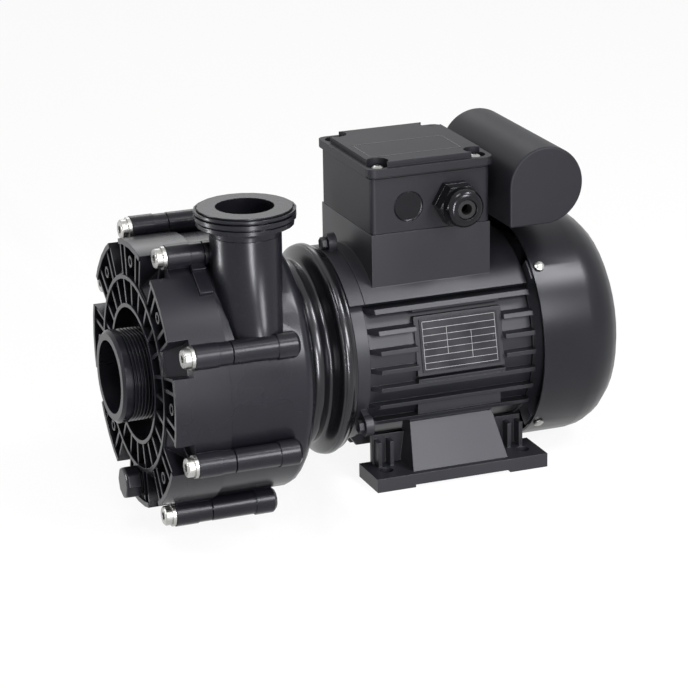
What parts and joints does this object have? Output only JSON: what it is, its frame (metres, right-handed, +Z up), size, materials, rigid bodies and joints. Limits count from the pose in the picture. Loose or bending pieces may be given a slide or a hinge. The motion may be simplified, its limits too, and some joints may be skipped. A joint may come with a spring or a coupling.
{
  "type": "close-coupled swimming pool pump",
  "caption": "Close-coupled pool pump: a round ribbed plastic wet end with an end inlet and a top outlet, on a finned motor with a terminal box, a capacitor cover and feet.",
  "frame": {"origin": "on the ground plane of the feet, midway between the four foot holes", "axes": "+X along the shaft from the inlet to the fan, -Y to the side with the cable gland, +Z up"},
  "size_m": [0.345, 0.1952, 0.238],
  "materials": {
    "moulded_plastic": "satin moulded plastic",
    "motor_paint": "die-cast aluminium under matt black paint",
    "adapter_paint": "die-cast aluminium under gloss black paint",
    "cowl_metal": "smooth satin dark metallic paint on sheet steel",
    "zinc_steel": "zinc-plated steel",
    "bright_steel": "ground steel",
    "core_steel": "laminated steel",
    "copper_wire": "enamelled copper wire",
    "rubber": "black rubber",
    "insulator": "brown moulded insulator",
    "white_plastic": "white plastic can",
    "ceramic": "polished ceramic",
    "plate_metal": "grey plate metal"
  },
  "bodies": {
    "pump": {"motor_frame": "motor_paint", "near_foot": "motor_paint", "far_foot": "motor_paint", "near_foot_screw_1": "zinc_steel", "near_foot_screw_2": "zinc_steel", "far_foot_screw_1": "zinc_steel", "far_foot_screw_2": "zinc_steel", "front_end_shield": "motor_paint", "rear_end_shield": "motor_paint", "tie_bolt_1": "zinc_steel", "tie_bolt_2": "zinc_steel", "tie_bolt_3": "zinc_steel", "tie_bolt_4": "zinc_steel", "front_bearing": "bright_steel", "rear_bearing": "bright_steel", "stator_core": "core_steel", "front_winding": "copper_wire", "rear_winding": "copper_wire", "fan_cowl": "cowl_metal", "cowl_screw_1": "zinc_steel", "cowl_screw_2": "zinc_steel", "cowl_screw_3": "zinc_steel", "cowl_screw_4": "zinc_steel", "terminal_box": "moulded_plastic", "lid_gasket": "rubber", "terminal_block": "insulator", "gland_body": "moulded_plastic", "capacitor_cover": "moulded_plastic", "run_capacitor": "white_plastic", "rating_plate": "plate_metal", "motor_adapter": "adapter_paint", "pump_casing": "moulded_plastic", "casing_oring": "rubber", "seal_plate": "moulded_plastic", "seal_seat_ring": "ceramic", "front_cover": "moulded_plastic", "casing_bolt_1": "zinc_steel", "casing_bolt_2": "zinc_steel", "casing_bolt_3": "zinc_steel", "casing_bolt_4": "zinc_steel", "casing_bolt_5": "zinc_steel", "casing_bolt_6": "zinc_steel", "casing_bolt_7": "zinc_steel", "casing_bolt_8": "zinc_steel"},
    "rotor": {"shaft": "bright_steel", "rotor_core": "core_steel", "impeller": "moulded_plastic", "impeller_nut": "bright_steel", "cooling_fan": "moulded_plastic", "seal_rotor": "rubber", "water_slinger": "rubber"},
    "lid": {"terminal_box_lid": "moulded_plastic", "lid_screw_1": "zinc_steel", "lid_screw_2": "zinc_steel", "lid_screw_3": "zinc_steel", "lid_screw_4": "zinc_steel"},
    "gland_bush": {"gland_seal": "rubber"},
    "gland_cap": {"gland_nut": "moulded_plastic"},
    "drain_ring": {"drain_plug_seal": "rubber"},
    "drain": {"drain_plug": "moulded_plastic"}
  },
  "joints": [
    {"name": "rotor_spin", "type": "hinge", "parent": "pump", "child": "rotor", "pos_m": [0, 0, 0.08], "axis": [1, 0, 0], "continuous": true},
    {"name": "lid_lift", "type": "slide", "parent": "pump", "child": "lid", "axis": [0, 0, 1], "range_m": [0, 0.06]},
    {"name": "gland_turn", "type": "hinge", "parent": "pump", "child": "gland_bush", "pos_m": [0.007, -0.06, 0.1855], "axis": [0, -1, 0], "range_deg": [0, 960]},
    {"name": "gland_travel", "type": "slide", "parent": "gland_bush", "child": "gland_cap", "axis": [0, -1, 0], "range_m": [0, 0.004]},
    {"name": "drain_turn", "type": "hinge", "parent": "pump", "child": "drain_ring", "pos_m": [-0.203, 0, 0.004], "axis": [-1, 0, 0], "range_deg": [0, 1440]},
    {"name": "drain_travel", "type": "slide", "parent": "drain_ring", "child": "drain", "axis": [-1, 0, 0], "range_m": [0, 0.008]}
  ],
  "couplings": [
    {"joint": "gland_travel", "follows": "gland_turn", "m_per_rad": 0.000238},
    {"joint": "drain_travel", "follows": "drain_turn", "m_per_rad": 0.000318}
  ]
}
